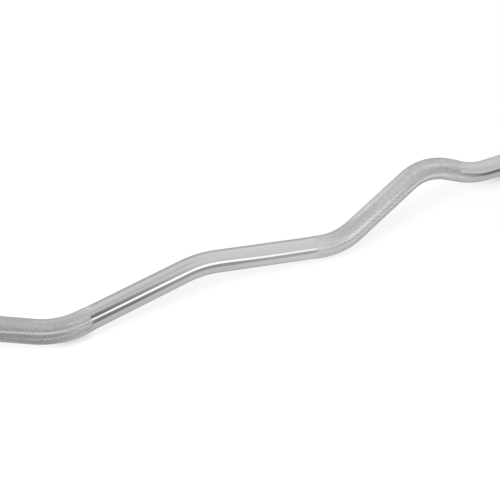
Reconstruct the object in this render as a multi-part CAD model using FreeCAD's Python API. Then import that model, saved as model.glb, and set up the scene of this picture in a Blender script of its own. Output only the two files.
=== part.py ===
import FreeCAD, Part
import os
import math

# Curl bar with a W-bent shaft and two free-turning 50 mm plate sleeves.
# +X runs along the sleeves' common axis, +Z is up, and Z = 0 is the floor the bar lies on.
# The origin is on the floor, under the middle of the bar. All sizes are in millimetres.

# ---- shaft, in the plane of its bends ----
SHAFT_D = 25.0          # bright smooth shaft
KNURL_D = 25.8          # over the raised knurl of the two grips
KNURL_FROM = 131.5      # along the shaft, from the middle to where each grip starts
KNURL_TO = 353.0        # along the shaft, from the middle to where each grip ends
RUN_C = 165.0           # middle bend to the low bend, corner to corner
RUN_D = 151.5           # low bend to the high bend
RUN_E = 64.0            # high bend to the sleeve axis
ANG_C = 8.9             # slope of each run against the sleeve axis, degrees
ANG_D = 22.7
ANG_E = 25.0
BEND_MID = 124.0        # bend radii on the centreline
BEND_LOW = 89.0
BEND_HIGH = 69.5
BEND_END = 81.0

# ---- stations along the sleeve axis, from the middle outwards ----
COLLAR_IN = 432.0       # inner face of the plate stop
COLLAR_WEB = 438.0      # back of the web that closes the stop around the shaft
COLLAR_OUT = 452.0      # face the first plate rests against
SHOULDER = 440.0        # shaft steps down to the journal
JOURNAL_END = 598.5
SLEEVE_END = 610.0

# ---- sleeve ----
COLLAR_D = 64.0
SLEEVE_D = 49.8         # takes plates with a 50 to 51 mm hole
SEAT_D = 49.0           # turned seat the stop is pressed on
SLEEVE_BORE = 40.0
CAP_BORE = 42.0
CAP_SEAT = 600.0        # step that the end cap rests on
CAP_THICK = 5.0
CAP_GROOVE_D = 44.5
CAP_GROOVE = 605.05
CAP_GROOVE_W = 1.9
COLLAR_LEAD = 0.6       # chamfer at the mouth of the stop's bore
WEB_BORE = 26.0
SEAL_GROOVE_D = 30.8
SEAL_GROOVE = 433.5
SEAL_GROOVE_W = 3.0
SEAL_CORD = 2.6
SEAL_MEAN_D = 28.0

# ---- bearings ----
JOURNAL_D = 22.0
BUSH_BORE = 22.06       # 0.03 mm running clearance all round
BUSH_D = 28.0
FLANGE_D = 34.0
FLANGE_T = 2.0
BUSH_LEN = 28.0         # without its flange
WASHER_T = 2.0
END_PLAY = 0.15         # at each thrust face
INNER_FLANGE = SHOULDER + WASHER_T + END_PLAY      # face of the inner bush's flange
OUTER_FLANGE = 592.0                               # face of the outer bush's flange
SNAP_GROOVE_D = 21.0
SNAP_GROOVE = OUTER_FLANGE + END_PLAY + WASHER_T + 0.05
SNAP_GROOVE_W = 1.3
SNAP_T = 1.2
CAP_SNAP_T = 1.75
FIT = 0.02              # seating gap between pieces pressed together

os.makedirs("parts", exist_ok=True)
V = FreeCAD.Vector


def write(shape, node):
    if len(shape.Solids) != 1 or not shape.isValid():
        raise ValueError(node + " is not one valid solid")
    shape.Solids[0].exportStep("parts/" + node + ".step")


# ---------------------------------------------------------------- centreline
def corner(a, b, c, r):
    """tangent points, centre and signed turn of the bend at corner b"""
    d1 = (b - a).normalize()
    d2 = (c - b).normalize()
    turn = math.atan2(d1.x * d2.y - d1.y * d2.x, d1.dot(d2))
    t = r * math.tan(abs(turn) / 2)
    p = b - d1 * t
    q = b + d2 * t
    n = V(-d1.y, d1.x, 0) * (1 if turn > 0 else -1)
    return p, q, p + n * r, turn


def rad(a):
    return math.radians(a)


x1 = RUN_C * math.cos(rad(ANG_C))
x2 = x1 + RUN_D * math.cos(rad(ANG_D))
x3 = x2 + RUN_E * math.cos(rad(ANG_E))
y2 = RUN_E * math.sin(rad(ANG_E))
y1 = y2 - RUN_D * math.sin(rad(ANG_D))
y0 = y1 + RUN_C * math.sin(rad(ANG_C))
half = [(x1, y1, BEND_LOW), (x2, y2, BEND_HIGH), (x3, 0.0, BEND_END)]
corners = [(-x, y, r) for x, y, r in reversed(half)] + [(0.0, y0, BEND_MID)] + half
pts = [V(-SHOULDER, 0, 0)] + [V(x, y, 0) for x, y, r in corners] + [V(SHOULDER, 0, 0)]

# The centreline as straights and bends: (length, start, direction, centre, signed turn).
path = []
at = pts[0]
for i, (x, y, r) in enumerate(corners):
    p, q, c, turn = corner(pts[i], pts[i + 1], pts[i + 2], r)
    path.append(((p - at).Length, at, (p - at).normalize(), None, 0.0))
    path.append((r * abs(turn), p, (pts[i + 1] - pts[i]).normalize(), c, turn))
    at = q
path.append(((pts[-1] - at).Length, at, (pts[-1] - at).normalize(), None, 0.0))
total = sum(e[0] for e in path)

# The low bends and the rims of the plate stops lie on the floor together, which sets the tilt of the bends.
p, q, c, turn = corner(pts[4], pts[5], pts[6], BEND_LOW)
low_depth = BEND_LOW - c.y
TILT = math.degrees(math.asin((COLLAR_D / 2 - KNURL_D / 2) / low_depth))
AXIS_Z = COLLAR_D / 2


def disc(at, along, d):
    return Part.Face(Part.Wire(Part.makeCircle(d / 2, at, along)))


def turn_about(c, v, angle):
    ca, sa = math.cos(angle), math.sin(angle)
    d = v - c
    return c + V(d.x * ca - d.y * sa, d.x * sa + d.y * ca, 0)


def swept(element, s_from, s_to, d):
    """one piece of the shaft between two distances along a straight or bend"""
    length, start, along, c, turn = element
    if c is None:
        return disc(start + along * s_from, along, d).extrude(along * (s_to - s_from))
    a0 = turn * s_from / length
    a1 = turn * s_to / length
    p = turn_about(c, start, a0)
    t = V(along.x * math.cos(a0) - along.y * math.sin(a0), along.x * math.sin(a0) + along.y * math.cos(a0), 0)
    return disc(p, t, d).revolve(c, V(0, 0, 1 if turn > 0 else -1), abs(math.degrees(a1 - a0)))


cuts = [total / 2 + k for k in (-KNURL_TO, -KNURL_FROM, KNURL_FROM, KNURL_TO)]
runs = []
s = 0.0
for e in path:
    stops = [0.0] + [k - s for k in cuts if 1e-3 < k - s < e[0] - 1e-3] + [e[0]]
    for a, b in zip(stops, stops[1:]):
        mid = abs(s + (a + b) / 2 - total / 2)
        d = KNURL_D if KNURL_FROM < mid < KNURL_TO else SHAFT_D
        runs.append(swept(e, a, b, d))
    s += e[0]


# ---------------------------------------------------------------- turned pieces
def turned(profile):
    """solid of revolution about the X axis; profile is a closed list of (x, r) or (x, r, corner radius)"""
    n = len(profile)
    P = [V(k[0], k[1], 0) for k in profile]
    ends = []
    for i in range(n):
        r = profile[i][2] if len(profile[i]) > 2 else 0.0
        if r:
            p, q, c, turn = corner(P[i - 1], P[i], P[(i + 1) % n], r)
            m = c + ((p + q) * 0.5 - c).normalize() * r
            ends.append((p, q, m))
        else:
            ends.append((P[i], P[i], None))
    edges = []
    for i in range(n):
        p, q, m = ends[i]
        if m is not None:
            edges.append(Part.Arc(p, m, q).toShape())
        nxt = ends[(i + 1) % n][0]
        if (nxt - q).Length > 1e-6:
            edges.append(Part.makeLine(q, nxt))
    return Part.Face(Part.Wire(edges)).revolve(V(0, 0, 0), V(1, 0, 0), 360)


def ring(x_from, x_to, r_in, r_out, edge=0.0):
    e = edge
    if not e:
        return turned([(x_from, r_in), (x_to, r_in), (x_to, r_out), (x_from, r_out)])
    return turned([(x_from, r_in), (x_to, r_in), (x_to, r_out - e), (x_to - e, r_out),
                   (x_from + e, r_out), (x_from, r_out - e)])


def round_bar(y, z, r, x_from, x_to):
    return Part.makeCylinder(r, x_to - x_from, V(x_from, y, z), V(1, 0, 0))


journal = turned([(SHOULDER - 2.0, 0), (JOURNAL_END, 0), (JOURNAL_END, JOURNAL_D / 2 - 1.0),
                  (JOURNAL_END - 1.0, JOURNAL_D / 2), (SNAP_GROOVE + SNAP_GROOVE_W, JOURNAL_D / 2),
                  (SNAP_GROOVE + SNAP_GROOVE_W, SNAP_GROOVE_D / 2), (SNAP_GROOVE, SNAP_GROOVE_D / 2),
                  (SNAP_GROOVE, JOURNAL_D / 2), (SHOULDER - 2.0, JOURNAL_D / 2)])

sleeve_tube = turned([(COLLAR_WEB + FIT, SLEEVE_BORE / 2), (CAP_SEAT, SLEEVE_BORE / 2), (CAP_SEAT, CAP_BORE / 2),
                      (CAP_GROOVE, CAP_BORE / 2), (CAP_GROOVE, CAP_GROOVE_D / 2),
                      (CAP_GROOVE + CAP_GROOVE_W, CAP_GROOVE_D / 2), (CAP_GROOVE + CAP_GROOVE_W, CAP_BORE / 2),
                      (SLEEVE_END - 0.8, CAP_BORE / 2), (SLEEVE_END, CAP_BORE / 2 + 0.8),
                      (SLEEVE_END, SLEEVE_D / 2 - 1.5), (SLEEVE_END - 1.5, SLEEVE_D / 2),
                      (COLLAR_OUT, SLEEVE_D / 2), (COLLAR_OUT, SEAT_D / 2), (COLLAR_WEB + FIT, SEAT_D / 2)])

sleeve_collar = turned([(COLLAR_IN, WEB_BORE / 2 + 0.6), (COLLAR_IN + 0.6, WEB_BORE / 2), (SEAL_GROOVE, WEB_BORE / 2),
                        (SEAL_GROOVE, SEAL_GROOVE_D / 2), (SEAL_GROOVE + SEAL_GROOVE_W, SEAL_GROOVE_D / 2),
                        (SEAL_GROOVE + SEAL_GROOVE_W, WEB_BORE / 2), (COLLAR_WEB, WEB_BORE / 2),
                        (COLLAR_WEB, SEAT_D / 2 + FIT), (COLLAR_OUT - FIT - COLLAR_LEAD, SEAT_D / 2 + FIT),
                        (COLLAR_OUT - FIT, SEAT_D / 2 + FIT + COLLAR_LEAD),
                        (COLLAR_OUT - FIT, COLLAR_D / 2, 1.5), (COLLAR_IN, COLLAR_D / 2, 3.5)])

dust_seal = Part.makeTorus(SEAL_MEAN_D / 2, SEAL_CORD / 2, V(SEAL_GROOVE + SEAL_GROOVE_W / 2, 0, 0), V(1, 0, 0))

inner_bush = turned([(INNER_FLANGE, BUSH_BORE / 2), (INNER_FLANGE + FLANGE_T + BUSH_LEN, BUSH_BORE / 2),
                     (INNER_FLANGE + FLANGE_T + BUSH_LEN, BUSH_D / 2 - 0.6),
                     (INNER_FLANGE + FLANGE_T + BUSH_LEN - 0.6, BUSH_D / 2), (INNER_FLANGE + FLANGE_T, BUSH_D / 2),
                     (INNER_FLANGE + FLANGE_T, FLANGE_D / 2), (INNER_FLANGE, FLANGE_D / 2)])
outer_bush = turned([(OUTER_FLANGE, BUSH_BORE / 2), (OUTER_FLANGE, FLANGE_D / 2),
                     (OUTER_FLANGE - FLANGE_T, FLANGE_D / 2), (OUTER_FLANGE - FLANGE_T, BUSH_D / 2),
                     (OUTER_FLANGE - FLANGE_T - BUSH_LEN + 0.6, BUSH_D / 2),
                     (OUTER_FLANGE - FLANGE_T - BUSH_LEN, BUSH_D / 2 - 0.6),
                     (OUTER_FLANGE - FLANGE_T - BUSH_LEN, BUSH_BORE / 2)])
inner_hub = ring(INNER_FLANGE + FLANGE_T + FIT, INNER_FLANGE + FLANGE_T + BUSH_LEN, BUSH_D / 2 + FIT,
                 SLEEVE_BORE / 2 - FIT, 1.0)
outer_hub = ring(OUTER_FLANGE - FLANGE_T - BUSH_LEN, OUTER_FLANGE - FLANGE_T - FIT, BUSH_D / 2 + FIT,
                 SLEEVE_BORE / 2 - FIT, 1.0)
inner_washer = ring(SHOULDER + FIT, SHOULDER + WASHER_T, JOURNAL_D / 2 + 0.05, FLANGE_D / 2, 0.3)
outer_washer = ring(OUTER_FLANGE + END_PLAY, OUTER_FLANGE + END_PLAY + WASHER_T, JOURNAL_D / 2 + 0.05, FLANGE_D / 2, 0.3)

# Spring ring on the journal: eccentric outline, two eyes for the pliers and an open gap at the top.
a = SNAP_GROOVE + 0.05
b = a + SNAP_T
body = round_bar(0, -0.5, 13.2, a, b)
eyes = [(13.0 * math.sin(rad(k)), 13.0 * math.cos(rad(k))) for k in (-21, 21)]
body = body.multiFuse([round_bar(y, z, 2.3, a, b) for y, z in eyes])
body = body.cut(round_bar(0, 0, SNAP_GROOVE_D / 2 + 0.05, a - 1, b + 1))
body = body.cut(Part.makeBox(b - a + 2, 5.2, 20, V(a - 1, -2.6, 6)))
for y, z in eyes:
    body = body.cut(round_bar(y, z, 1.0, a - 1, b + 1))
snap_ring = body.removeSplitter()

# Spring ring in the sleeve's mouth, eyes inwards.
a = CAP_GROOVE + 0.07
b = a + CAP_SNAP_T
r_out = CAP_GROOVE_D / 2 - 0.05
body = round_bar(0, 0, r_out, a, b).cut(round_bar(0, 0.7, r_out - 3.2, a - 1, b + 1))
eyes = [(18.3 * math.sin(rad(k)), 18.3 * math.cos(rad(k))) for k in (-15, 15)]
pads = []
for y, z in eyes:
    pad = round_bar(y, z, 2.6, a, b)
    web = Part.makeBox(b - a, 5.2, 3.2, V(a, -2.6, 0))
    web.rotate(V(0, 0, 0), V(1, 0, 0), -math.degrees(math.atan2(y, z)))
    web.translate(V(0, y, z))
    pads += [pad, web]
body = body.multiFuse(pads).common(round_bar(0, 0, r_out, a - 1, b + 1))
body = body.cut(Part.makeBox(b - a + 2, 4.0, 30, V(a - 1, -2.0, 8)))
for y, z in eyes:
    body = body.cut(round_bar(y, z, 1.25, a - 1, b + 1))
cap_ring = body.removeSplitter()

# Plug that closes the sleeve: dished outside, hollow behind.
end_cap = turned([(CAP_SEAT + 2.6, 0), (CAP_SEAT + CAP_THICK - 1.0, 0), (CAP_SEAT + CAP_THICK - 1.0, 12.0, 0.6),
                  (CAP_SEAT + CAP_THICK, 13.2, 0.6), (CAP_SEAT + CAP_THICK, CAP_BORE / 2 - FIT - 0.5),
                  (CAP_SEAT + CAP_THICK - 0.5, CAP_BORE / 2 - FIT), (CAP_SEAT + FIT, CAP_BORE / 2 - FIT),
                  (CAP_SEAT + FIT, 17.0), (CAP_SEAT + 2.6, 16.4)])

# ---------------------------------------------------------------- placing and writing
lift = FreeCAD.Placement(V(0, 0, AXIS_Z), FreeCAD.Rotation(V(1, 0, 0), 0))
tilted = FreeCAD.Placement(V(0, 0, AXIS_Z), FreeCAD.Rotation(V(1, 0, 0), TILT))
flip = FreeCAD.Placement(V(0, 0, 0), FreeCAD.Rotation(V(0, 0, 1), 180))


def placed(shape, where):
    k = shape.copy()
    k.Placement = where.multiply(k.Placement)
    return k


shaft = runs[0].multiFuse(runs[1:] + [journal, placed(journal, flip)]).removeSplitter()
write(placed(shaft, tilted), "shaft")

pieces = {
    "sleeve_tube": sleeve_tube,
    "sleeve_collar": sleeve_collar,
    "dust_seal": dust_seal,
    "inner_hub": inner_hub,
    "outer_hub": outer_hub,
    "inner_bush": inner_bush,
    "outer_bush": outer_bush,
    "inner_thrust_washer": inner_washer,
    "outer_thrust_washer": outer_washer,
    "shaft_snap_ring": snap_ring,
    "end_cap": end_cap,
    "cap_snap_ring": cap_ring,
}
for name, shape in pieces.items():
    write(placed(shape, lift), "right_" + name)
    write(placed(placed(shape, flip), lift), "left_" + name)
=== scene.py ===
import math
import bpy
import numpy as np
from mathutils import Matrix, Vector


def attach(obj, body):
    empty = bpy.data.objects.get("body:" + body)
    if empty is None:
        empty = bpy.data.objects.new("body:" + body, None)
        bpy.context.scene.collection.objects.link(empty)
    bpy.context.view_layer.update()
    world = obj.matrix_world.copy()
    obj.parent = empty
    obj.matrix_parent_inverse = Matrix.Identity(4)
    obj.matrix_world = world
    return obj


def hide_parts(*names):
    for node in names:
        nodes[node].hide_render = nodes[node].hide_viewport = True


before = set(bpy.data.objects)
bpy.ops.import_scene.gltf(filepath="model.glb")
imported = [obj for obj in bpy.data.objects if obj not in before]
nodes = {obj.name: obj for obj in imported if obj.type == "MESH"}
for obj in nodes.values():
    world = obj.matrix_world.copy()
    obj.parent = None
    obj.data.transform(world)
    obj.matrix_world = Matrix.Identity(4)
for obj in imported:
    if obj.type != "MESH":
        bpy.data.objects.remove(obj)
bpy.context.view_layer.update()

MM = 0.001

# ------------------------------------------------------------------ sizes, millimetres, as in the solids
SHAFT_R = 12.5
KNURL_R = 12.9
ROOT_R = 12.66
KNURL_FROM, KNURL_TO = 131.5, 353.0
RUN_C, RUN_D, RUN_E = 165.0, 151.5, 64.0
ANG_C, ANG_D, ANG_E = math.radians(8.9), math.radians(22.7), math.radians(25.0)
BEND_MID, BEND_LOW, BEND_HIGH, BEND_END = 124.0, 89.0, 69.5, 81.0
AXIS_Z = 32.0
SHOULDER, JOURNAL_END = 440.0, 598.5
JOURNAL_R, SNAP_GROOVE, SNAP_GROOVE_W, SNAP_GROOVE_R = 11.0, 594.2, 1.3, 10.5

# ------------------------------------------------------------------ centreline of the bent shaft


def corner(a, b, c, r):
    d1 = (b - a) / np.linalg.norm(b - a)
    d2 = (c - b) / np.linalg.norm(c - b)
    turn = math.atan2(d1[0] * d2[1] - d1[1] * d2[0], float(d1 @ d2))
    t = r * math.tan(abs(turn) / 2)
    p, q = b - d1 * t, b + d2 * t
    n = np.array([-d1[1], d1[0]]) * (1 if turn > 0 else -1)
    return p, q, p + n * r, turn


x1 = RUN_C * math.cos(ANG_C)
x2 = x1 + RUN_D * math.cos(ANG_D)
x3 = x2 + RUN_E * math.cos(ANG_E)
y2 = RUN_E * math.sin(ANG_E)
y1 = y2 - RUN_D * math.sin(ANG_D)
y0 = y1 + RUN_C * math.sin(ANG_C)
half = [(x1, y1, BEND_LOW), (x2, y2, BEND_HIGH), (x3, 0.0, BEND_END)]
corners = [(-x, y, r) for x, y, r in reversed(half)] + [(0.0, y0, BEND_MID)] + half
pts = [np.array([-SHOULDER, 0.0])] + [np.array([x, y]) for x, y, r in corners] + [np.array([SHOULDER, 0.0])]
path = []           # start distance, length, start point, start heading, centre or None, radius, signed turn
at = pts[0]
run = 0.0
for i, (x, y, r) in enumerate(corners):
    p, q, c, turn = corner(pts[i], pts[i + 1], pts[i + 2], r)
    d = pts[i + 1] - pts[i]
    heading = math.atan2(d[1], d[0])
    length = float(np.linalg.norm(p - at))
    path.append((run, length, at, heading, None, 0.0, 0.0))
    run += length
    path.append((run, r * abs(turn), p, heading, c, r, turn))
    run += r * abs(turn)
    at = q
length = float(np.linalg.norm(pts[-1] - at))
path.append((run, length, at, 0.0, None, 0.0, 0.0))
TOTAL = run + length
HALF = TOTAL / 2
low = corner(pts[4], pts[5], pts[6], BEND_LOW)
TILT = math.asin((AXIS_Z - KNURL_R) / (BEND_LOW - low[2][1]))
COS_T, SIN_T = math.cos(TILT), math.sin(TILT)


def centre_at(s):
    """points, tangents and in-plane normals of the centreline at distances s from the middle"""
    s = np.asarray(s, float) + HALF
    k = np.clip(np.searchsorted([e[0] for e in path], s, side="right") - 1, 0, len(path) - 1)
    xy = np.zeros(s.shape + (2,))
    phi = np.zeros(s.shape)
    for i, (s0, ln, p, h, c, r, turn) in enumerate(path):
        m = k == i
        if not m.any():
            continue
        d = s[m] - s0
        if c is None:
            xy[m] = p + d[:, None] * np.array([math.cos(h), math.sin(h)])
            phi[m] = h
        else:
            g = 1 if turn > 0 else -1
            a = h + g * d / r
            phi[m] = a
            xy[m] = c + r * np.stack([np.sin(a) * g, -np.cos(a) * g], 1)
    cp, sp = np.cos(phi), np.sin(phi)
    pos = np.stack([xy[..., 0], xy[..., 1] * COS_T, AXIS_Z + xy[..., 1] * SIN_T], -1)
    tan = np.stack([cp, sp * COS_T, sp * SIN_T], -1)
    nor = np.stack([-sp, cp * COS_T, cp * SIN_T], -1)
    return pos, tan, nor


SIDE = np.array([0.0, -SIN_T, COS_T])


def skin(s, c, r, cols):
    """points on the shaft's skin and the outward directions there; c counts columns around the shaft"""
    s, c, r = np.broadcast_arrays(np.asarray(s, float), np.asarray(c, float), np.asarray(r, float))
    shape = s.shape
    pos, tan, nor = centre_at(s.ravel())
    a = c.ravel() * (2 * math.pi / cols)
    out = np.cos(a)[:, None] * nor + np.sin(a)[:, None] * SIDE
    return (pos + r.ravel()[:, None] * out).reshape(shape + (3,)), out.reshape(shape + (3,)), tan.reshape(shape + (3,))


# ------------------------------------------------------------------ mesh building


class Builder:
    """collects corners of faces with their own normals, map places and material, then makes one closed mesh"""

    def __init__(self):
        self.co, self.faces, self.nor, self.uv, self.mat, self.tone = [], [], [], [], [], []
        self.count = 0

    def add_points(self, co, tone=0.0):
        co = np.asarray(co, float).reshape(-1, 3)
        first = self.count
        self.co.append(co)
        self.tone.append(np.broadcast_to(np.asarray(tone, float).ravel(), (len(co),)).copy() if np.ndim(tone) else np.full(len(co), float(tone)))
        self.count += len(co)
        return np.arange(first, self.count)

    def add_faces(self, idx, nor, uv, mat=0):
        idx = np.array(idx, int)
        self.faces.append(idx)
        self.nor.append(np.array(nor, float).reshape(idx.shape + (3,)))
        self.uv.append(np.array(uv, float).reshape(idx.shape + (2,)))
        self.mat.append(np.full(len(idx), mat, int))

    def make(self, name, materials):
        co = np.concatenate(self.co) * MM
        tone = np.concatenate(self.tone)
        for k, (f, n, u) in enumerate(zip(self.faces, self.nor, self.uv)):
            g = flat_normals(co, f)
            bad = (g * n).sum((1, 2)) < 0
            for a in (f, n, u):
                a[bad] = a[bad][:, ::-1]
        loops = np.concatenate([f.ravel() for f in self.faces])
        sizes = np.concatenate([np.full(len(f), f.shape[1]) for f in self.faces])
        starts = np.concatenate([[0], np.cumsum(sizes)[:-1]])
        me = bpy.data.meshes.new(name)
        me.vertices.add(len(co))
        me.vertices.foreach_set("co", co.astype(np.float32).ravel())
        me.loops.add(len(loops))
        me.loops.foreach_set("vertex_index", loops.astype(np.int32))
        me.polygons.add(len(sizes))
        me.polygons.foreach_set("loop_start", starts.astype(np.int32))
        me.polygons.foreach_set("material_index", np.concatenate(self.mat).astype(np.int32))
        me.polygons.foreach_set("use_smooth", np.ones(len(sizes), bool))
        me.update(calc_edges=True)
        layer = me.uv_layers.new(name="OFBake")
        layer.data.foreach_set("uv", np.concatenate([u.reshape(-1, 2) for u in self.uv]).astype(np.float32).ravel())
        at = me.attributes.new("depth", "FLOAT", "POINT")
        at.data.foreach_set("value", tone.astype(np.float32))
        for m in materials:
            me.materials.append(m)
        n = np.concatenate([k.reshape(-1, 3) for k in self.nor])
        n /= np.maximum(np.linalg.norm(n, axis=1), 1e-9)[:, None]
        me.normals_split_custom_set(n.tolist())
        me.update()
        ob = bpy.data.objects.new(name, me)
        bpy.context.scene.collection.objects.link(ob)
        return ob


def flat_normals(co, idx):
    q = co[idx]
    if idx.shape[1] == 4:
        n = np.cross(q[:, 2] - q[:, 0], q[:, 3] - q[:, 1])
    else:
        n = np.cross(q[:, 1] - q[:, 0], q[:, 2] - q[:, 0])
    n /= np.maximum(np.linalg.norm(n, axis=1), 1e-12)[:, None]
    return np.repeat(n[:, None, :], idx.shape[1], 1)


# ------------------------------------------------------------------ materials


def new_mat(name):
    m = bpy.data.materials.new(name)
    m.use_nodes = True
    nt = m.node_tree
    b = nt.nodes["Principled BSDF"]
    return m, nt, b


def node(nt, kind, **kw):
    n = nt.nodes.new(kind)
    for k, v in kw.items():
        if k in n.inputs:
            n.inputs[k].default_value = v
        else:
            setattr(n, k, v)
    return n


def span(nt, value, lo, hi, a=0.0, b=1.0):
    n = node(nt, "ShaderNodeMapRange")
    n.inputs["From Min"].default_value = a
    n.inputs["From Max"].default_value = b
    n.inputs["To Min"].default_value = lo
    n.inputs["To Max"].default_value = hi
    nt.links.new(value, n.inputs["Value"])
    return n.outputs["Result"]


def noise(nt, coord, scale, detail=4.0, stretch=None):
    vec = coord
    if stretch:
        mp = node(nt, "ShaderNodeMapping")
        mp.inputs["Scale"].default_value = stretch
        nt.links.new(coord, mp.inputs["Vector"])
        vec = mp.outputs["Vector"]
    n = node(nt, "ShaderNodeTexNoise")
    n.inputs["Scale"].default_value = scale
    n.inputs["Detail"].default_value = detail
    nt.links.new(vec, n.inputs["Vector"])
    return n.outputs["Fac"]


def blend(nt, fac, a, b):
    n = node(nt, "ShaderNodeMix", data_type="RGBA")
    nt.links.new(fac, n.inputs[0])
    n.inputs[6].default_value = a
    n.inputs[7].default_value = b
    return n.outputs[2]


def polished(name, tint, low_tint, rough, rough_to, scratch, strength):
    """bright plate: faint cloudy tone, hairline polishing marks and slightly dull patches"""
    m, nt, b = new_mat(name)
    co = node(nt, "ShaderNodeTexCoord").outputs["Object"]
    cloud = noise(nt, co, 14.0, 3.0)
    hair = noise(nt, co, 90.0, 3.0, scratch)
    nt.links.new(blend(nt, span(nt, cloud, 0.0, 1.0, 0.35, 0.65), tint, low_tint), b.inputs["Base Color"])
    mix = node(nt, "ShaderNodeMath", operation="MULTIPLY")
    nt.links.new(span(nt, cloud, 0.55, 1.0, 0.3, 0.7), mix.inputs[0])
    nt.links.new(hair, mix.inputs[1])
    nt.links.new(span(nt, mix.outputs[0], rough, rough_to, 0.15, 0.65), b.inputs["Roughness"])
    bump = node(nt, "ShaderNodeBump")
    bump.inputs["Strength"].default_value = strength
    bump.inputs["Distance"].default_value = 0.00004
    nt.links.new(hair, bump.inputs["Height"])
    nt.links.new(bump.outputs["Normal"], b.inputs["Normal"])
    b.inputs["Metallic"].default_value = 1.0
    b.inputs["Specular Tint"].default_value = (0.62, 0.62, 0.62, 1)
    return m


def knurled(name, top, root, rough_top, rough_root):
    """plate on the cut knurl: bright tips, duller roots darkened by painted shade in the grooves, spread by a random
    cloudy tone
    """
    m, nt, b = new_mat(name)
    co = node(nt, "ShaderNodeTexCoord").outputs["Object"]
    depth = node(nt, "ShaderNodeAttribute", attribute_name="depth").outputs["Fac"]
    cloud = noise(nt, co, 160.0, 3.0)
    fine = noise(nt, co, 2600.0, 2.0)
    # painted shade in the knurl's grooves: groove depth times a random cloud blends the tip colour toward the darker
    # root colour
    root_shade = node(nt, "ShaderNodeMath", operation="MULTIPLY")
    nt.links.new(depth, root_shade.inputs[0])
    nt.links.new(span(nt, cloud, 0.55, 1.0, 0.3, 0.7), root_shade.inputs[1])
    nt.links.new(blend(nt, root_shade.outputs[0], top, root), b.inputs["Base Color"])
    add = node(nt, "ShaderNodeMath", operation="ADD")
    nt.links.new(span(nt, depth, rough_top, rough_root, 0.0, 0.35), add.inputs[0])
    nt.links.new(span(nt, fine, -0.03, 0.06, 0.3, 0.7), add.inputs[1])
    nt.links.new(add.outputs[0], b.inputs["Roughness"])
    bump = node(nt, "ShaderNodeBump")
    bump.inputs["Strength"].default_value = 0.25
    bump.inputs["Distance"].default_value = 0.00002
    nt.links.new(fine, bump.inputs["Height"])
    nt.links.new(bump.outputs["Normal"], b.inputs["Normal"])
    b.inputs["Metallic"].default_value = 1.0
    b.inputs["Specular Tint"].default_value = (0.62, 0.62, 0.62, 1)
    return m


def plain_metal(name, a, bcol, rough, rough_to, scale, stretch=None, metallic=1.0, bump_mm=0.02):
    m, nt, b = new_mat(name)
    co = node(nt, "ShaderNodeTexCoord").outputs["Object"]
    f = noise(nt, co, scale, 5.0, stretch)
    nt.links.new(blend(nt, span(nt, f, 0.0, 1.0, 0.3, 0.7), a, bcol), b.inputs["Base Color"])
    nt.links.new(span(nt, f, rough, rough_to, 0.3, 0.7), b.inputs["Roughness"])
    bump = node(nt, "ShaderNodeBump")
    bump.inputs["Strength"].default_value = 0.4
    bump.inputs["Distance"].default_value = bump_mm * MM
    nt.links.new(f, bump.inputs["Height"])
    nt.links.new(bump.outputs["Normal"], b.inputs["Normal"])
    b.inputs["Metallic"].default_value = metallic
    return m


chrome = polished("shaft_chrome", (0.507, 0.507, 0.507, 1), (0.492, 0.493, 0.495, 1), 0.035, 0.085, (0.15, 1.0, 1.0), 0.12)
# the knurl's second colour is the painted shade of its roots
knurl = knurled("shaft_knurl", (0.507, 0.507, 0.507, 1), (0.33, 0.33, 0.329, 1), 0.15, 0.42)
sleeve_chrome = polished("sleeve_chrome", (0.505, 0.505, 0.505, 1), (0.48, 0.482, 0.485, 1), 0.06, 0.15, (0.05, 1.0, 1.0), 0.2)
steel = plain_metal("hub_steel", (0.50, 0.50, 0.52, 1), (0.42, 0.42, 0.43, 1), 0.25, 0.42, 40.0, (14.0, 1.0, 1.0))
ground = plain_metal("washer_steel", (0.54, 0.54, 0.55, 1), (0.46, 0.46, 0.48, 1), 0.22, 0.36, 120.0)
bronze = plain_metal("bush_bronze", (0.58, 0.38, 0.17, 1), (0.46, 0.29, 0.12, 1), 0.32, 0.5, 500.0)
spring = plain_metal("spring_steel", (0.055, 0.055, 0.058, 1), (0.035, 0.035, 0.037, 1), 0.38, 0.55, 350.0, None, 0.8)
plastic = plain_metal("cap_plastic", (0.022, 0.022, 0.023, 1), (0.016, 0.016, 0.017, 1), 0.42, 0.58, 900.0, None, 0.0, 0.03)
rubber = plain_metal("seal_rubber", (0.018, 0.018, 0.018, 1), (0.012, 0.012, 0.012, 1), 0.6, 0.75, 700.0, None, 0.0, 0.02)

# ------------------------------------------------------------------ shaft with its cut knurl
STARTS = 38                      # grooves each way around the shaft
COLS = 2 * STARTS
PITCH = 2.55                     # diamond's length along the shaft
TOP = 0.60                       # size of a tip's flat against its diamond
DOME = 0.08                      # how far the tip's flat is rounded over at its corners
RISE = 2.4                       # length over which the knurl comes up out of the plain shaft
rng = np.random.RandomState(7)
b = Builder()
S_END = HALF + (JOURNAL_END - SHOULDER)
STRIPS = 4
STRIP_LEN = 2 * S_END / STRIPS


def places(s, c):
    """place on the map: the shaft's skin unrolled and cut into strips, one face whole in one strip"""
    s, c = np.broadcast_arrays(np.asarray(s, float), np.asarray(c, float))
    k = np.clip(np.floor((s.mean(1, keepdims=True) + S_END) / STRIP_LEN), 0, STRIPS - 1)
    u = ((s + S_END) - k * STRIP_LEN) / STRIP_LEN
    v = (c + 1.5) / (COLS + 3.0)
    return np.stack([0.012 + 0.976 * u, (k + 0.015 + 0.97 * v) / STRIPS], -1)


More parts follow.
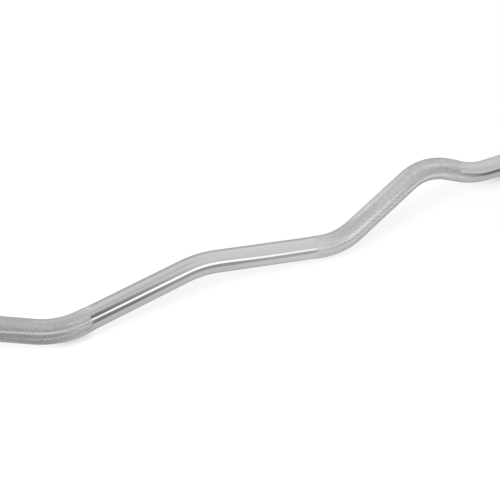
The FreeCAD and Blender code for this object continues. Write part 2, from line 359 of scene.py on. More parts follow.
def rings(profile, closed_from=None, closed_to=None, mat=0):
    """skin of revolution along the centreline: profile is a list of (s, r); the end rings may be given"""
    c = np.arange(COLS)
    rows = []
    for i, (s, r) in enumerate(profile):
        if i == 0 and closed_from is not None:
            rows.append(closed_from)
        elif i == len(profile) - 1 and closed_to is not None:
            rows.append(closed_to)
        else:
            rows.append(b.add_points(skin(s, c, r, COLS)[0]))
    c0, c1 = c, c + 1
    for i in range(len(profile) - 1):
        (sa, ra), (sb, rb) = profile[i], profile[i + 1]
        ln = math.hypot(sb - sa, rb - ra)
        ns, nr = -(rb - ra) / ln, (sb - sa) / ln
        idx = np.stack([rows[i][c0], rows[i][c1 % COLS], rows[i + 1][c1 % COLS], rows[i + 1][c0]], 1)[:, ::-1]
        cc = np.stack([c0, c1, c1, c0], 1)[:, ::-1]
        ss = np.stack([np.full(COLS, sa), np.full(COLS, sa), np.full(COLS, sb), np.full(COLS, sb)], 1)[:, ::-1]
        _, out, tan = skin(ss, cc, 1.0, COLS)
        b.add_faces(idx, out * nr + tan * ns, places(ss, cc), mat)
    return rows


def cap(row, s, way, mat=0):
    centre = b.add_points(skin(np.array([s]), np.array([0]), 0.0, COLS)[0])[0]
    c = np.arange(COLS)
    idx = np.stack([row[c], row[(c + 1) % COLS], np.full(COLS, centre)], 1)
    ss = np.stack([np.full(COLS, s), np.full(COLS, s), np.full(COLS, s + 6 * way)], 1)
    cc = np.stack([c, c + 1, c + 0.5], 1)
    _, _, tan = skin(ss[:, :1], cc[:, :1], 1.0, COLS)
    n = np.repeat(tan * way, 3, 1)
    if way > 0:
        idx, ss, cc = idx[:, ::-1], ss[:, ::-1], cc[:, ::-1]
    ss = np.clip(ss, -S_END, S_END)
    b.add_faces(idx[:, ::-1], n, places(ss, cc)[:, ::-1], mat)


def stations(a, z, step_line=20.0, step_bend=2.2):
    """distances along the centreline from a to z, closer on the bends"""
    out = [a]
    for s0, ln, p, h, c, r, turn in path:
        lo, hi = max(a, s0 - HALF), min(z, s0 + ln - HALF)
        if hi - lo > 1e-6:
            n = max(1, int(math.ceil((hi - lo) / (step_line if c is None else step_bend))))
            out += [lo + (hi - lo) * k / n for k in range(1, n + 1)]
    if z - out[-1] > 1e-6:
        out.append(z)
    return out


def knurl_zone(a, z):
    """diamonds between a and z; returns the boundary loops at both ends as (ring order) lists"""
    rows = int(round((z - a) / PITCH)) * 2
    h = (z - a) / rows
    C, J = np.meshgrid(np.arange(COLS), np.arange(rows + 1), indexing="ij")
    odd = (C + J) % 2 == 1
    grid = np.full(C.shape, -1)

    def rise(j):
        d = np.minimum(j, rows - j) * h / RISE
        return np.clip(d, 0.0, 1.0) ** 0.7

    def bite(j):
        # cut lighter at the grip's inner end
        t = np.clip((np.abs(a + j * h) - KNURL_FROM - 2.0) / 34.0, 0.0, 1.0)
        return t * t * (3 - 2 * t)

    cut = bite(J[odd])
    sink = KNURL_R - (KNURL_R - ROOT_R) * (0.60 + 0.40 * cut) + rng.uniform(-0.004, 0.004, odd.sum())
    sink = SHAFT_R + 0.01 + (sink - SHAFT_R - 0.01) * rise(J[odd])
    # the roots' point tone drives their painted shade, weaker where the cut is shallower
    grid[odd] = b.add_points(skin(a + J[odd] * h, C[odd], sink, COLS)[0], 0.45 + 0.55 * cut)
    pc, pj = C[~odd], J[~odd]
    n = len(pc)
    k = TOP + rng.uniform(-0.012, 0.012, n)
    top = KNURL_R - np.abs(rng.normal(0.0, 0.004, n))
    top = SHAFT_R + 0.03 + (top - SHAFT_R - 0.03) * rise(pj)
    east = b.add_points(skin(a + pj * h, pc + k, top, COLS)[0], 0.0)
    west = b.add_points(skin(a + pj * h, pc - k, top, COLS)[0], 0.0)
    up = np.full(n, -1)
    dn = np.full(n, -1)
    m = pj < rows
    up[m] = b.add_points(skin(a + (pj[m] + k[m]) * h, pc[m], top[m], COLS)[0], 0.0)
    w = pj > 0
    dn[w] = b.add_points(skin(a + (pj[w] - k[w]) * h, pc[w], top[w], COLS)[0], 0.0)
    co = np.concatenate(b.co)

    def put(idx, sj, cc, who, flat):
        idx = np.stack(idx, 1)
        ss = a + np.stack(sj, 1) * h
        cc = np.stack(cc, 1)
        _, out, tan = skin(ss, cc, 1.0, COLS)
        # leaning outwards from the middle of the tip, along the shaft and around it
        lean_s = np.sign(np.round(np.stack(sj, 1) - pj[who][:, None], 6))
        lean_c = np.sign(np.round(cc - pc[who][:, None], 6))
        side = np.cross(tan, out)
        turn = np.sign((side[0, 0] * (skin(ss[:1, :1], cc[:1, :1] + 0.1, 1.0, COLS)[1][0, 0] - out[0, 0])).sum())
        tip = out + DOME * (lean_s[..., None] * tan * 0.75 + turn * lean_c[..., None] * side)
        tip /= np.linalg.norm(tip, axis=2)[..., None]
        if flat:
            n_ = flat_normals(co, idx)
            n_[(n_ * out).sum((1, 2)) < 0] *= -1
            n_[:, 0] += 0.25 * tip[:, 0]
            n_[:, 3] += 0.25 * tip[:, 3]
        else:
            n_ = tip
        b.add_faces(idx, n_, places(ss, cc), 1)

    full = m & w
    put([west[full], dn[full], east[full], up[full]], [pj[full], pj[full] - k[full], pj[full], pj[full] + k[full]],
        [pc[full] - k[full], pc[full], pc[full] + k[full], pc[full]], full, False)
    f = m & ~w
    put([west[f], east[f], up[f]], [pj[f], pj[f], pj[f] + k[f]], [pc[f] - k[f], pc[f] + k[f], pc[f]], f, False)
    f = w & ~m
    put([west[f], dn[f], east[f]], [pj[f], pj[f] - k[f], pj[f]], [pc[f] - k[f], pc[f], pc[f] + k[f]], f, False)
    for dc, dj, mask, ns in ((1, 1, m, up), (-1, 1, m, up), (1, -1, w, dn), (-1, -1, w, dn)):
        ew = east if dc > 0 else west
        put([ew[mask], grid[(pc[mask] + dc) % COLS, pj[mask]], grid[pc[mask], pj[mask] + dj], ns[mask]],
            [pj[mask], pj[mask], pj[mask] + dj, pj[mask] + dj * k[mask]],
            [pc[mask] + dc * k[mask], pc[mask] + dc, pc[mask], pc[mask]], mask, True)
    ends = []
    for j in (0, rows):
        loop = []
        sel = pj == j
        where = {int(c_): i for c_, i in zip(pc[sel], np.nonzero(sel)[0])}
        for c_ in range(COLS):
            if (c_ + j) % 2 == 1:
                loop.append((c_, [(grid[c_, j], float(c_))]))
            else:
                i = where[c_]
                loop.append((c_, [(west[i], c_ - k[i]), (east[i], c_ + k[i])]))
        ends.append(loop)
    return ends


def join(row, s_row, loop, s_loop):
    """wall between a plain ring and the ragged end of a knurl"""
    tri = []
    tri_s = []
    tri_c = []
    for c_ in range(COLS):
        here = loop[c_][1]
        nxt = loop[(c_ + 1) % COLS][1]
        r0, r1 = row[c_], row[(c_ + 1) % COLS]
        if len(here) == 2:
            tri.append((r0, here[1][0], here[0][0]))
            tri_s.append((s_row, s_loop, s_loop))
            tri_c.append((c_, here[1][1], here[0][1]))
        a0, ac = here[-1]
        b0, bc = nxt[0]
        if c_ + 1 == COLS:
            bc += COLS
        tri.append((r0, r1, b0))
        tri_s.append((s_row, s_row, s_loop))
        tri_c.append((c_, c_ + 1, bc))
        tri.append((r0, b0, a0))
        tri_s.append((s_row, s_loop, s_loop))
        tri_c.append((c_, bc, ac))
    idx = np.array(tri)
    ss, cc = np.array(tri_s), np.array(tri_c)
    co = np.concatenate(b.co)
    n_ = flat_normals(co, idx)
    out = skin(ss, cc, 1.0, COLS)
    want = out[1] + out[2] * np.sign(s_row - s_loop)
    bad = (n_ * want).sum((1, 2)) < 0
    n_[bad] *= -1
    idx[bad] = idx[bad][:, ::-1]
    uv = places(ss, cc)
    uv[bad] = uv[bad][:, ::-1]
    b.add_faces(idx, n_, uv, 1)


STEP = 0.35                       # short run-out between plain shaft and knurl
ends_r = knurl_zone(KNURL_FROM, KNURL_TO)
ends_l = knurl_zone(-KNURL_TO, -KNURL_FROM)
mid = rings([(s, SHAFT_R) for s in stations(-KNURL_FROM + STEP, KNURL_FROM - STEP)])
join(mid[-1], KNURL_FROM - STEP, ends_r[0], KNURL_FROM)
join(mid[0], -KNURL_FROM + STEP, ends_l[1], -KNURL_FROM)
for g in (1, -1):
    tail = [(s, SHAFT_R) for s in stations(KNURL_TO + STEP, HALF - 0.4)]
    tail += [(HALF, SHAFT_R - 0.4), (HALF, JOURNAL_R)]
    for x, r in ((SNAP_GROOVE, JOURNAL_R), (SNAP_GROOVE, SNAP_GROOVE_R), (SNAP_GROOVE + SNAP_GROOVE_W, SNAP_GROOVE_R),
                 (SNAP_GROOVE + SNAP_GROOVE_W, JOURNAL_R), (JOURNAL_END - 1.0, JOURNAL_R), (JOURNAL_END, JOURNAL_R - 1.0)):
        tail.append((HALF + x - SHOULDER, r))
    if g > 0:
        rows = rings(tail)
        join(rows[0], KNURL_TO + STEP, ends_r[1], KNURL_TO)
        cap(rows[-1], S_END, 1)
    else:
        rows = rings([(-s, r) for s, r in reversed(tail)])
        join(rows[-1], -KNURL_TO - STEP, ends_l[0], -KNURL_TO)
        cap(rows[0], -S_END, -1)
shaft = b.make("curl_shaft", [chrome, knurl])
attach(shaft, "shaft")
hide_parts("shaft")

# ------------------------------------------------------------------ turned pieces of the sleeves


def turned(name, profile, materials, seg=160, mirror=False):
    """closed solid of revolution about the sleeve axis; profile is a closed list of (x, r, corner radius, material)"""
    n = len(profile)
    P = [np.array(p[:2], float) for p in profile]
    pts_, nor_ = [], []          # runs of points with normals, one run per straight or rounded corner
    ends = []
    for i in range(n):
        r = profile[i][2]
        if r:
            p, q, c, turn = corner(P[i - 1], P[i], P[(i + 1) % n], r)
            ends.append((p, q, c, turn, r))
        else:
            ends.append((P[i], P[i], None, 0.0, 0.0))
    runs = []
    for i in range(n):
        p, q, c, turn, r = ends[i]
        if c is not None:
            steps = max(3, int(math.ceil(abs(turn) / math.radians(11))))
            a0 = math.atan2(p[1] - c[1], p[0] - c[0])
            arc = [c + r * np.array([math.cos(a0 + turn * k / steps), math.sin(a0 + turn * k / steps)]) for k in range(steps + 1)]
            g = -1 if turn > 0 else 1
            runs.append((arc, [g * -(k - c) / r for k in arc], profile[i][3]))
        z = ends[(i + 1) % n][0]
        if np.linalg.norm(z - q) > 1e-6:
            d = (z - q) / np.linalg.norm(z - q)
            nn = np.array([d[1], -d[0]])
            many = max(1, int(math.ceil(abs(z[0] - q[0]) / 12.0)))
            line = [q + (z - q) * k / many for k in range(many + 1)]
            runs.append((line, [nn] * len(line), profile[i][3]))
    area = 0.5 * sum(P[i - 1][0] * P[i][1] - P[i][0] * P[i - 1][1] for i in range(n))
    flip = -1.0 if area < 0 else 1.0
    t = Builder()
    ring_of = {}
    c = np.arange(seg)
    ang = c * 2 * math.pi / seg
    gx = -1.0 if mirror else 1.0

    def ring_at(p):
        key = (round(p[0], 5), round(p[1], 5))
        if key not in ring_of:
            if p[1] < 1e-6:
                ring_of[key] = np.repeat(t.add_points([[gx * p[0], 0.0, AXIS_Z]]), seg)
            else:
                ring_of[key] = t.add_points(np.stack([np.full(seg, gx * p[0]), p[1] * np.cos(ang), AXIS_Z + p[1] * np.sin(ang)], 1))
        return ring_of[key]

    around = 0.0
    total_len = sum(np.linalg.norm(np.diff(np.array(k[0]), axis=0), axis=1).sum() for k in runs)
    for line, nors, mat in runs:
        for k in range(len(line) - 1):
            pa, pb = line[k], line[k + 1]
            step = float(np.linalg.norm(pb - pa))
            if step < 1e-7 or (pa[1] < 1e-6 and pb[1] < 1e-6):
                continue
            ra, rb = ring_at(pa), ring_at(pb)
            c1 = (c + 1) % seg
            na = flip * nors[k]
            nb = flip * nors[k + 1]

            def n3(v, cc):
                a_ = cc * 2 * math.pi / seg
                return np.stack([np.full(seg, gx * v[0]), v[1] * np.cos(a_), v[1] * np.sin(a_)], 1)

            u0, u1 = around / total_len, (around + step) / total_len
            U = [np.full(seg, 0.01 + 0.98 * u0), np.full(seg, 0.01 + 0.98 * u1)]
            Vc = [0.01 + 0.98 * c / seg, 0.01 + 0.98 * (c + 1) / seg]
            quad = [(ra[c], n3(na, c), np.stack([U[0], Vc[0]], 1)), (rb[c], n3(nb, c), np.stack([U[1], Vc[0]], 1)),
                    (rb[c1], n3(nb, c + 1), np.stack([U[1], Vc[1]], 1)), (ra[c1], n3(na, c + 1), np.stack([U[0], Vc[1]], 1))]
            if pa[1] < 1e-6:
                quad = [quad[0], quad[1], quad[2]]
            elif pb[1] < 1e-6:
                quad = [quad[0], quad[1], quad[3]]
            idx = np.stack([q_[0] for q_ in quad], 1)
            nn_ = np.stack([q_[1] for q_ in quad], 1)
            uv = np.stack([q_[2] for q_ in quad], 1)
            co = np.concatenate(t.co)
            g_ = np.cross(co[idx[0, 1]] - co[idx[0, 0]], co[idx[0, 2]] - co[idx[0, 0]])
            if g_ @ nn_[0].mean(0) < 0:
                idx, nn_, uv = idx[:, ::-1], nn_[:, ::-1], uv[:, ::-1]
            t.add_faces(idx, nn_, uv, mat)
            around += step
    return t.make(name, materials)


for side, mirror in (("left", True), ("right", False)):
    body = side + "_sleeve"
    tube = turned(side + "_sleeve_tube_v", [
        (438.02, 20.0, 0, 1), (600.0, 20.0, 0, 1), (600.0, 21.0, 0, 1), (605.05, 21.0, 0, 1), (605.05, 22.25, 0, 1),
        (606.95, 22.25, 0, 1), (606.95, 21.0, 0, 1), (609.2, 21.0, 0.3, 0), (610.0, 21.8, 0.3, 0), (610.0, 23.4, 0.5, 0),
        (608.5, 24.9, 0.8, 0), (452.0, 24.9, 0, 0), (452.0, 24.5, 0, 0), (438.02, 24.5, 0, 0)], [sleeve_chrome, steel], mirror=mirror)
    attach(tube, body)
    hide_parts(side + "_sleeve_tube")
    stop = turned(side + "_sleeve_collar_v", [
        (432.0, 13.6, 0.25, 0), (432.6, 13.0, 0.25, 0), (433.5, 13.0, 0, 0), (433.5, 15.4, 0, 0), (436.5, 15.4, 0, 0), (436.5, 13.0, 0, 0),
        (438.0, 13.0, 0, 0), (438.0, 24.52, 0, 0), (451.38, 24.52, 0, 0), (451.98, 25.12, 0, 0), (451.98, 32.0, 1.5, 0),
        (432.0, 32.0, 3.5, 0)], [sleeve_chrome], seg=192, mirror=mirror)
    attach(stop, body)
    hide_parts(side + "_sleeve_collar")
    plug = turned(side + "_end_cap_v", [
        (602.6, 0.0, 0, 0), (603.9, 0.0, 0, 0), (604.05, 2.2, 0.5, 0), (604.0, 11.8, 0.7, 0), (605.0, 13.0, 0.5, 0), (605.0, 15.2, 0.2, 0),
        (604.7, 15.6, 0.2, 0), (604.7, 16.4, 0.2, 0), (605.0, 16.8, 0.2, 0), (605.0, 20.4, 0.4, 0), (604.4, 20.98, 0.3, 0), (600.02, 20.98, 0, 0),
        (600.02, 17.0, 0, 0), (602.6, 16.4, 0.5, 0)], [plastic], seg=128, mirror=mirror)
    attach(plug, body)
    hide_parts(side + "_end_cap")
    for piece, mat in (("dust_seal", rubber), ("inner_hub", steel), ("outer_hub", steel), ("inner_bush", bronze),
                       ("outer_bush", bronze), ("inner_thrust_washer", ground), ("outer_thrust_washer", ground),
                       ("shaft_snap_ring", spring), ("cap_snap_ring", spring)):
        o = nodes[side + "_" + piece]
        o.data.materials.clear()
        o.data.materials.append(mat)

# ------------------------------------------------------------------ studio: floor, soft light, reflectors
def plain_object(name, verts, faces, mat):
    me = bpy.data.meshes.new(name)
    me.from_pydata(verts, [], faces)
    me.materials.append(mat)
    o = bpy.data.objects.new(name, me)
    bpy.context.scene.collection.objects.link(o)
    return o


FLOOR_SHADE, FLOOR_GLOW = 0.15, 0.815
m, nt, bs = new_mat("studio_floor")
co = node(nt, "ShaderNodeTexCoord").outputs["Object"]
f = noise(nt, co, 1.5, 2.0)
nt.links.new(blend(nt, f, (FLOOR_SHADE, FLOOR_SHADE, FLOOR_SHADE, 1), (FLOOR_SHADE * 0.99, FLOOR_SHADE * 0.99, FLOOR_SHADE * 0.99, 1)), bs.inputs["Base Color"])
bs.inputs["Roughness"].default_value = 1.0
bs.inputs["Specular IOR Level"].default_value = 0.0
bs.inputs["Emission Color"].default_value = (0.992, 1.0, 1.0, 1)
place = node(nt, "ShaderNodeSeparateXYZ")
nt.links.new(co, place.inputs[0])
far = node(nt, "ShaderNodeMath", operation="ABSOLUTE")
nt.links.new(place.outputs["X"], far.inputs[0])


def smooth_part(value, a, z):
    n = node(nt, "ShaderNodeMapRange", interpolation_type="SMOOTHSTEP")
    n.inputs["From Min"].default_value, n.inputs["From Max"].default_value = a, z
    nt.links.new(value, n.inputs["Value"])
    return n.outputs["Result"]


def combine(kind, a, b_):
    n = node(nt, "ShaderNodeMath", operation=kind)
    nt.links.new(a, n.inputs[0])
    nt.links.new(b_, n.inputs[1])
    return n.outputs[0]


# painted shadow: the floor's glow is dimmed by occlusion only in placed spots, behind both bar ends by the collars and
# at the left low bend
collar_shadow_spot = combine("MULTIPLY", smooth_part(far.outputs[0], 0.365, 0.425), smooth_part(place.outputs["Y"], -0.002, 0.020))
bend_shadow_spot = combine("MULTIPLY", smooth_part(far.outputs[0], 0.125, 0.142), span(nt, smooth_part(far.outputs[0], 0.155, 0.175), 1.0, 0.0))
bend_shadow_spot = combine("MULTIPLY", bend_shadow_spot, span(nt, place.outputs["X"], 1.0, 0.0, -0.1, 0.1))
near = node(nt, "ShaderNodeAmbientOcclusion", samples=8)
nt.links.new(span(nt, smooth_part(far.outputs[0], 0.25, 0.35), 0.008, 0.040), near.inputs["Distance"])
painted_shadow_weight = combine("ADD", span(nt, collar_shadow_spot, 0.0, 1.0), span(nt, bend_shadow_spot, 0.0, 0.30))
painted_shadow = combine("MULTIPLY", span(nt, near.outputs["AO"], 1.0, 0.0), painted_shadow_weight)
nt.links.new(span(nt, painted_shadow, FLOOR_GLOW, 0.0), bs.inputs["Emission Strength"])
m.cycles.emission_sampling = "NONE"
plain_object("studio_floor", [(-14, -14, 0), (14, -14, 0), (14, 14, 0), (-14, 14, 0)], [(0, 1, 2, 3)], m)


def ease(a, z, v):
    t = np.clip((v - a) / (z - a), 0.0, 1.0)
    return t * t * (3 - 2 * t)


def reflector(name, verts, faces, glow, tint, cover=None, warm=None):
    """studio reflector that only shows in polished metal; glow, and how far it covers, are given at each point"""
    m = bpy.data.materials.new(name)
    m.use_nodes = True
    t = m.node_tree
    t.nodes.clear()
    out = t.nodes.new("ShaderNodeOutputMaterial")
    em = t.nodes.new("ShaderNodeEmission")
    em.inputs["Color"].default_value = tint
    at = t.nodes.new("ShaderNodeAttribute")
    at.attribute_name = "glow"
    t.links.new(at.outputs["Fac"], em.inputs["Strength"])
    if warm is not None:
        wa = t.nodes.new("ShaderNodeAttribute")
        wa.attribute_name = "warm"
        t.links.new(blend(t, wa.outputs["Fac"], tint, (tint[0] * 0.995, tint[1], tint[2] * 0.945, 1)), em.inputs["Color"])
    if cover is None:
        t.links.new(em.outputs[0], out.inputs["Surface"])
    else:
        ca = t.nodes.new("ShaderNodeAttribute")
        ca.attribute_name = "cover"
        clear = t.nodes.new("ShaderNodeBsdfTransparent")
        mixed = t.nodes.new("ShaderNodeMixShader")
        t.links.new(ca.outputs["Fac"], mixed.inputs[0])
        t.links.new(clear.outputs[0], mixed.inputs[1])
        t.links.new(em.outputs[0], mixed.inputs[2])
        t.links.new(mixed.outputs[0], out.inputs["Surface"])
    m.cycles.emission_sampling = "NONE"
    o = plain_object(name, verts, faces, m)
    if cover is not None:
        a = o.data.attributes.new("cover", "FLOAT", "POINT")
        a.data.foreach_set("value", np.asarray(cover, np.float32))
    if warm is not None:
        a = o.data.attributes.new("warm", "FLOAT", "POINT")
        a.data.foreach_set("value", np.asarray(warm, np.float32))
    a = o.data.attributes.new("glow", "FLOAT", "POINT")
    a.data.foreach_set("value", np.asarray(glow, np.float32))
    o.visible_camera = False
    o.visible_diffuse = False
    o.visible_shadow = False
    o.visible_transmission = False
    return o


# front reflector: a dark foot, a bright strip above it, and a shaded part at the upper left
FRONT_Y = -0.125
gx = np.linspace(-0.9, 0.9, 361)
gz = np.concatenate([np.linspace(0.0005, 0.13, 131), np.linspace(0.135, 0.60, 60)])
GX, GZ = np.meshgrid(gx, gz, indexing="ij")


def foot_glow(x):
    """glow of the reflector's dark foot along its length"""
    return (0.32 + 0.46 * ease(-0.165, -0.145, x) * (1 - ease(-0.113, -0.103, x)) + 0.19 * ease(-0.05, 0.02, x)
            + 0.14 * ease(0.05, 0.10, x) + 0.13 * ease(0.17, 0.23, x) - 0.21 * ease(0.34, 0.375, x) - 0.30 * ease(0.375, 0.45, x))


foot = (0.058 - 0.006 * ease(-0.215, -0.19, GX) - 0.017 * ease(0.035, 0.11, GX)
        + 0.040 * ease(0.335, 0.385, GX) - 0.015 * ease(0.39, 0.44, GX))
head = 0.090 + 0.011 * ease(-0.08, 0.0, GX) - 0.031 * ease(0.045, 0.11, GX) + 0.026 * ease(0.335, 0.385, GX)
dark = foot_glow(GX) + 0.10 * ease(0.015, 0.045, GZ) * (1 - ease(0.0, 0.05, GX))
bright = (2.05 - 0.55 * ease(-0.16, -0.13, GX) + 0.08 * ease(-0.13, -0.11, GX) + 0.22 * ease(-0.10, -0.06, GX) - 0.20 * ease(0.10, 0.15, GX)
          - 0.60 * ease(0.17, 0.36, GX))
shade = (0.43 - 0.15 * ease(-0.165, -0.14, GX) + 0.50 * ease(-0.116, -0.104, GX) - 0.12 * ease(-0.10, -0.06, GX)
         - 0.13 * ease(-0.06, -0.02, GX) - 0.20 * ease(-0.02, 0.01, GX) - 0.23 * ease(0.01, 0.06, GX) - 0.07 * ease(0.08, 0.14, GX))
high = (1.06 - 0.09 * ease(0.32, 0.48, GX) - shade * (1.0 - 0.5 * ease(0.15, 0.28, GZ) - 0.5 * ease(0.28, 0.55, GZ))
        - 0.085 * ease(0.375, 0.41, GX) * ease(0.085, 0.11, GZ) * (1 - ease(0.28, 0.42, GZ)))
glow = dark + (bright - dark) * ease(-0.004, 0.004, GZ - foot)
glow = 1.13 * (glow + (high - glow) * ease(-0.008, 0.008, GZ - head))
# a small bright panel at the right
lower = 0.056 + 0.30 * (GX - 0.26)
glow += (ease(0.20, 0.25, GX) * (1.2 - 0.40 * ease(0.27, 0.33, GX) - 0.80 * ease(0.345, 0.39, GX))
         * ease(-0.012, 0.012, GZ - lower) * (1 - ease(0.145, 0.175, GZ)))
nx_, nz_ = GX.shape
verts = np.stack([GX.ravel(), np.full(GX.size, FRONT_Y), GZ.ravel()], 1)
ij = (np.arange(nx_ - 1)[:, None] * nz_ + np.arange(nz_ - 1)[None]).ravel()
faces = np.stack([ij, ij + nz_, ij + nz_ + 1, ij + 1], 1)
warm = ease(0.0, 0.02, GZ - head) * (1 - ease(-0.03, 0.03, GX))
reflector("front_reflector", verts.tolist(), faces.tolist(), glow.ravel(), (1.0, 1.0, 0.985, 1), None, warm.ravel())
# its foot on the floor
edge = [(-0.90, -0.052), (-0.25, -0.052), (-0.16, -0.081), (-0.06, -0.084), (0.00, -0.088), (0.035, -0.088), (0.065, -0.082), (0.13, -0.070), (0.20, -0.095), (0.34, -0.112), (0.41, -0.106), (0.45, -0.086), (0.90, -0.086)]
verts = [(x, y, 0.0004) for x, y in edge] + [(x, FRONT_Y, 0.0004) for x, y in edge]
n_e = len(edge)
ex = np.array([v[0] for v in verts])
ez = foot_glow(ex)
reflector("front_foot", verts, [(n_e + k, n_e + k + 1, k + 1, k) for k in range(n_e - 1)], 1.13 * ez, (0.975, 1.0, 1.015, 1))



def panel(name, xs, us, place, glow, cover, tint=(1.0, 1.0, 1.0, 1)):
    """upright or lying reflector on a grid; place gives each grid point, cover its soft edges"""
    X, U = np.meshgrid(xs, us, indexing="ij")
    n0, n1 = X.shape
    k = (np.arange(n0 - 1)[:, None] * n1 + np.arange(n1 - 1)[None]).ravel()
    reflector(name, place(X, U).reshape(-1, 3).tolist(), np.stack([k, k + n1, k + n1 + 1, k + 1], 1).tolist(),
              np.broadcast_to(glow(X, U), X.shape).ravel(), tint, np.broadcast_to(cover(X, U), X.shape).ravel())


BACK_Y = 0.15
NEAR_Y = 0.065
panel("near_back_reflector", np.linspace(-0.31, 0.29, 241), np.linspace(0.012, 0.17, 33),
      lambda x, u: np.stack([x, np.full(x.shape, NEAR_Y), u], -1),
      lambda x, u: ((0.76 + 0.74 * ease(-0.146, -0.139, x) * (1 - (1 - ease(0.0, 0.1, x)) * ease(0.09, 0.118, u)) + 0.26 * ease(0.0, 0.1, x))
                    * (1 - (0.26 + 0.12 * ease(0.22, 0.25, x)) * ease(0.1, 0.15, x) * (1 - ease(0.045, 0.078, u)))),
      lambda x, u: (0.80 * ease(-0.31, -0.27, x) + 0.05 * ease(-0.141, -0.133, x) - 0.85 * ease(-0.131, -0.121, x)
                    + 0.90 * ease(0.206, 0.226, x) - 0.90 * ease(0.245, 0.285, x)) * ease(0.012, 0.03, u) * (1 - ease(0.10, 0.165, u)))
panel("near_grip_reflector", np.linspace(0.184, 0.228, 23), np.linspace(0.006, 0.116, 34),
      lambda x, u: np.stack([x, np.full(x.shape, 0.040), u], -1), lambda x, u: 1.95 * (0.66 + 0.34 * ease(0.042, 0.058, u)),
      lambda x, u: 0.92 * ease(0.186, 0.197, x) * (1 - ease(0.213, 0.227, x)) * ease(0.006, 0.018, u) * (1 - ease(0.088, 0.115, u)))
panel("back_right_reflector", np.linspace(0.22, 0.37, 31), np.linspace(0.06, 0.22, 33),
      lambda x, u: np.stack([x, np.full(x.shape, BACK_Y), u], -1), lambda x, u: 1.7,
      lambda x, u: ease(0.235, 0.275, x) * (1 - ease(0.285, 0.318, x)) * ease(0.08, 0.12, u) * (1 - ease(0.15, 0.20, u)))
panel("far_right_reflector", np.linspace(0.45, 0.71, 53), np.linspace(0.0005, 0.26, 27),
      lambda x, u: np.stack([x, np.full(x.shape, BACK_Y), u], -1), lambda x, u: 1.14,
      lambda x, u: ease(0.455, 0.485, x) * (1 - ease(0.63, 0.71, x)) * (1 - ease(0.15, 0.25, u)))
# painted shade: a darker sheet seen only in the metal, standing in for the shaded floor that the left grip's lower side
# reflects
panel("left_floor_shade_sheet", np.linspace(-0.42, -0.11, 63), np.linspace(-0.052, -0.020, 17),
      lambda x, u: np.stack([x, u, np.full(x.shape, 0.0005)], -1), lambda x, u: 0.50 + 0.20 * ease(-0.05, -0.02, u),
      lambda x, u: ease(-0.42, -0.37, x) * (1 - ease(-0.185, -0.140, x)) * (1 - 0.8 * ease(-0.035, -0.02, u)))
# painted reflection of the floor: a sheet seen only in the metal whose glow is painted along its length, lighter in a
# band below the right grip and dimmer toward the right end
panel("floor_tone", np.linspace(-0.15, 0.56, 143), np.linspace(-0.118, 0.006, 63),
      lambda x, u: np.stack([x, u, np.full(x.shape, 0.0002)], -1),
      lambda x, u: 1.01 * (0.93 + 0.06 * ease(-0.08, -0.03, x) + 0.05 * ease(0.03, 0.06, x) + 0.09 * ease(0.06, 0.12, x)
                           - 0.18 * ease(0.14, 0.19, x) + (0.46 - 0.14 * ease(0.22, 0.28, x)) * ease(0.14, 0.19, x) * (1 - ease(0.335, 0.357, x)) * (1 - ease(-0.056, -0.036, u))
                           - 0.01 * ease(0.333, 0.357, x) - 0.055 * ease(0.36, 0.39, x) - 0.045 * ease(0.39, 0.42, x)),
      lambda x, u: ease(-0.15, -0.13, x) * (1 - ease(0.50, 0.56, x))
      * (1 - ease(-0.034, -0.016, u - 0.020 * ease(0.15, 0.20, x) * (1 - ease(0.35, 0.38, x)))), (0.98, 1.0, 1.005, 1))

# painted shade: a dark sheet seen only in the metal, darkening the crest knurl's lower edge where the teeth shade
# themselves
panel("crest_edge_shade_sheet", np.linspace(0.265, 0.375, 37), np.linspace(-0.012, 0.046, 30),
      lambda x, u: np.stack([x, u, np.full(x.shape, 0.0003)], -1), lambda x, u: 0.50 + 0.20 * ease(0.325, 0.345, x),
      lambda x, u: 0.85 * ease(0.270, 0.305, x) * (1 - ease(0.345, 0.375, x)) * ease(-0.012, 0.0, u) * (1 - ease(0.030, 0.046, u)))
panel("crest_strip", np.linspace(0.316, 0.392, 39), np.linspace(-0.048, 0.022, 36),
      lambda x, u: np.stack([x, u, np.full(x.shape, 0.100)], -1), lambda x, u: 1.60 - 0.30 * ease(0.333, 0.344, x) + 0.22 * ease(0.350, 0.367, x) + 0.20 * ease(0.368, 0.380, x),
      lambda x, u: ease(0.316, 0.331, x) * (1 - ease(0.380, 0.389, x)) * (1 - ease(0.007, 0.019, np.abs(u + 0.006 + 0.30 * (x - 0.333)))))
panel("crest_foot", np.linspace(0.296, 0.342, 24), np.linspace(-0.052, -0.001, 27),
      lambda x, u: np.stack([x, u, np.full(x.shape, 0.020)], -1), lambda x, u: 2.05 - 0.40 * ease(0.3205, 0.3235, x) - 0.35 * ease(0.3235, 0.330, x),
      lambda x, u: ease(0.297, 0.312, x) * (1 - ease(0.330, 0.337, x)) * ease(-0.051, -0.036, u) * (1 - ease(-0.018, -0.007, u)))
panel("crest_flag", np.linspace(0.330, 0.368, 39), np.linspace(0.036, 0.098, 42),
      lambda x, u: np.stack([x, np.full(x.shape, -0.045), u], -1), lambda x, u: 0.30 + 0.15 * ease(0.060, 0.070, u),
      lambda x, u: 0.95 * ease(0.3305, 0.340, x) * (1 - ease(-0.003, 0.0012, x - 0.345 - 0.5 * (u - 0.0465))) * ease(0.038, 0.046, u) * (1 - ease(0.079, 0.098, u)))

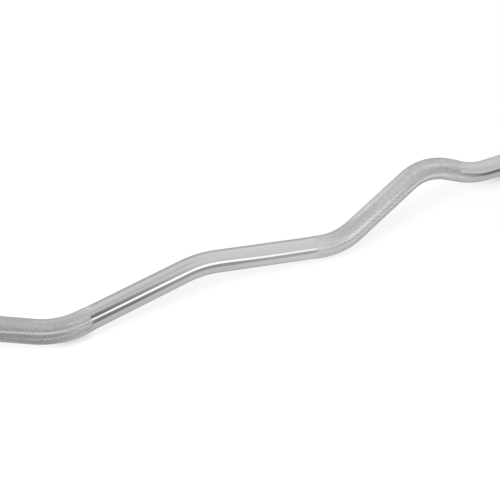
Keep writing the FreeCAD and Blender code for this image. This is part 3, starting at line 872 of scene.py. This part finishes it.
w = bpy.data.worlds.new("studio")
bpy.context.scene.world = w
w.use_nodes = True
wt = w.node_tree
bg = wt.nodes["Background"]
gen = wt.nodes.new("ShaderNodeTexCoord").outputs["Generated"]
sep = wt.nodes.new("ShaderNodeSeparateXYZ")
wt.links.new(gen, sep.inputs[0])
ramp = wt.nodes.new("ShaderNodeValToRGB")
ramp.color_ramp.interpolation = "EASE"
els = ramp.color_ramp.elements
els[0].position, els[0].color = 0.0, (0.725, 0.725, 0.735, 1)
els[1].position, els[1].color = 1.0, (0.78, 0.78, 0.776, 1)
for at_, v_ in ((0.34, 0.79), (0.50, 0.905), (0.61, 1.045), (0.70, 1.015), (0.84, 0.965), (0.94, 0.97)):
    e = els.new(at_)
    e.color = (v_, v_, v_, 1)
wt.links.new(sep.outputs["Z"], ramp.inputs["Fac"])
gain = wt.nodes.new("ShaderNodeFloatCurve")
cv = gain.mapping.curves[0]
cv.points[0].location = (0.0, 0.565)
cv.points[1].location = (1.0, 0.54)
for x_, y_ in ((0.12, 0.562), (0.30, 0.590), (0.40, 0.606), (0.48, 0.625), (0.58, 0.575), (0.75, 0.548)):
    cv.points.new(x_, y_)
gain.mapping.update()
wt.links.new(sep.outputs["X"], gain.inputs["Value"])
twice = wt.nodes.new("ShaderNodeMath")
twice.operation = "MULTIPLY"
twice.inputs[1].default_value = 2.0
wt.links.new(gain.outputs["Value"], twice.inputs[0])
wt.links.new(ramp.outputs["Color"], bg.inputs["Color"])
wt.links.new(twice.outputs[0], bg.inputs["Strength"])
white = wt.nodes.new("ShaderNodeBackground")
white.inputs["Color"].default_value = (1.0, 1.0, 1.0, 1)
white.inputs["Strength"].default_value = 1.03
pick = wt.nodes.new("ShaderNodeMixShader")
wt.links.new(wt.nodes.new("ShaderNodeLightPath").outputs["Is Camera Ray"], pick.inputs[0])
wt.links.new(bg.outputs[0], pick.inputs[1])
wt.links.new(white.outputs[0], pick.inputs[2])
wt.links.new(pick.outputs[0], wt.nodes["World Output"].inputs["Surface"])

lamp = bpy.data.lights.new("softbox", "AREA")
lamp.shape = "RECTANGLE"
lamp.size, lamp.size_y = 0.66, 0.66
lamp.energy = 31.0
lo = bpy.data.objects.new("softbox", lamp)
lo.location = (-1.47, -0.27, 1.33)
lo.rotation_euler = (Vector((0, 0, 0)) - Vector(lo.location)).to_track_quat("-Z", "Y").to_euler()
lo.visible_glossy = False
bpy.context.scene.collection.objects.link(lo)

# ------------------------------------------------------------------ camera
CAM_AZ, CAM_EL = math.radians(-25.926), math.radians(39.825)
back = Vector((math.sin(CAM_AZ) * math.cos(CAM_EL), -math.cos(CAM_AZ) * math.cos(CAM_EL), math.sin(CAM_EL)))
right = Vector((math.cos(CAM_AZ), math.sin(CAM_AZ), 0.0))
up = back.cross(right)
cam = bpy.data.cameras.new("photo_camera")
cam.sensor_fit = "HORIZONTAL"
cam.sensor_width = 36.0
cam.lens = 64.8
cam.clip_start, cam.clip_end = 0.02, 100.0
co_ = bpy.data.objects.new("photo_camera", cam)
bpy.context.scene.collection.objects.link(co_)
mw = Matrix.Identity(4)
for i_, col in enumerate((right, up, back)):
    for j_ in range(3):
        mw[j_][i_] = col[j_]
mw.translation = Vector((-0.27143, -0.68583, 0.65724))
co_.matrix_world = mw
bpy.context.scene.camera = co_
bpy.context.scene.view_settings.view_transform = "Standard"
